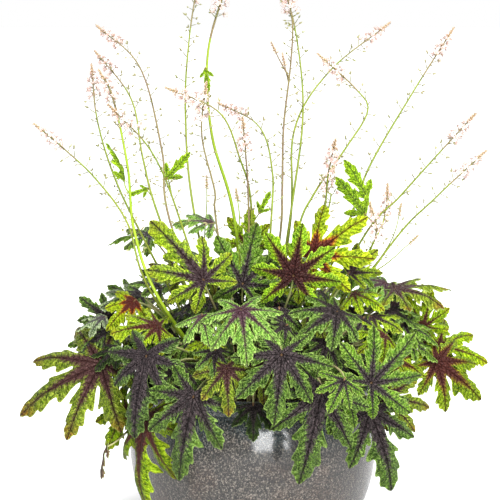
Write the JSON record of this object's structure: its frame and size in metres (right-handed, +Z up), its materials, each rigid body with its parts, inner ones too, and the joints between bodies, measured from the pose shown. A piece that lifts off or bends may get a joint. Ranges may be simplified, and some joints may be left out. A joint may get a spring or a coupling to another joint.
{
  "type": "potted foamflower plant",
  "caption": "Potted perennial with cut, dark-veined leaves and slender flower sprays, growing in a round glazed ceramic pot filled with soil.",
  "frame": {"origin": "centre of the pot's foot, on the surface that it stands on", "axes": "+Z up along the pot's axis, -Y towards the front of the plant, +X to the right seen from the front"},
  "size_m": [0.415, 0.3559, 0.5249],
  "materials": {
    "glazed_pot": "dark pewter glaze with a fine metallic speckle, glossy",
    "potting_soil": null,
    "leaves": null,
    "flower_sprays": null
  },
  "bodies": {
    "root": {"pot": "glazed_pot", "soil": "potting_soil", "leaf_hanging_left": "leaves", "leaf_hanging_middle": "leaves", "leaf_hanging_right": "leaves", "leaf_hanging_corner": "leaves", "leaf_front_middle": "leaves", "leaf_front_purple": "leaves", "leaf_far_left": "leaves", "leaf_front_left_pale": "leaves", "leaf_front_middle_pale": "leaves", "leaf_front_right_dark": "leaves", "leaf_front_right_large": "leaves", "leaf_right_red": "leaves", "leaf_right_lime": "leaves", "leaf_left_lime": "leaves", "leaf_left_dark": "leaves", "leaf_top_red": "leaves", "leaf_top_yellow": "leaves", "leaf_top_left": "leaves", "leaf_top_middle": "leaves", "leaf_top_back": "leaves", "leaves_low_left": "leaves", "leaves_low_middle": "leaves", "leaves_low_middle_left": "leaves", "leaves_low_middle_right": "leaves", "leaves_low_right": "leaves", "leaves_high_right": "leaves", "leaves_high_left": "leaves", "leaves_high_middle": "leaves", "leaves_back_1": "leaves", "leaves_back_2": "leaves", "leaves_back_3": "leaves", "leaves_back_4": "leaves", "leaves_back_5": "leaves", "leaves_back_6": "leaves", "leaves_back_7": "leaves", "spray_01": "flower_sprays", "spray_02": "flower_sprays", "spray_03": "flower_sprays", "spray_04": "flower_sprays", "spray_05": "flower_sprays", "spray_06": "flower_sprays", "spray_07": "flower_sprays", "spray_08": "flower_sprays", "spray_09": "flower_sprays", "spray_10": "flower_sprays", "spray_11": "flower_sprays", "spray_12": "flower_sprays", "spray_13": "flower_sprays", "spray_14": "flower_sprays", "spray_15": "flower_sprays", "spray_16": "flower_sprays", "spray_17": "flower_sprays", "spray_18": "flower_sprays", "spray_19": "flower_sprays", "spray_20": "flower_sprays", "spray_21": "flower_sprays", "spray_22": "flower_sprays", "spray_23": "flower_sprays"}
  },
  "joints": []
}
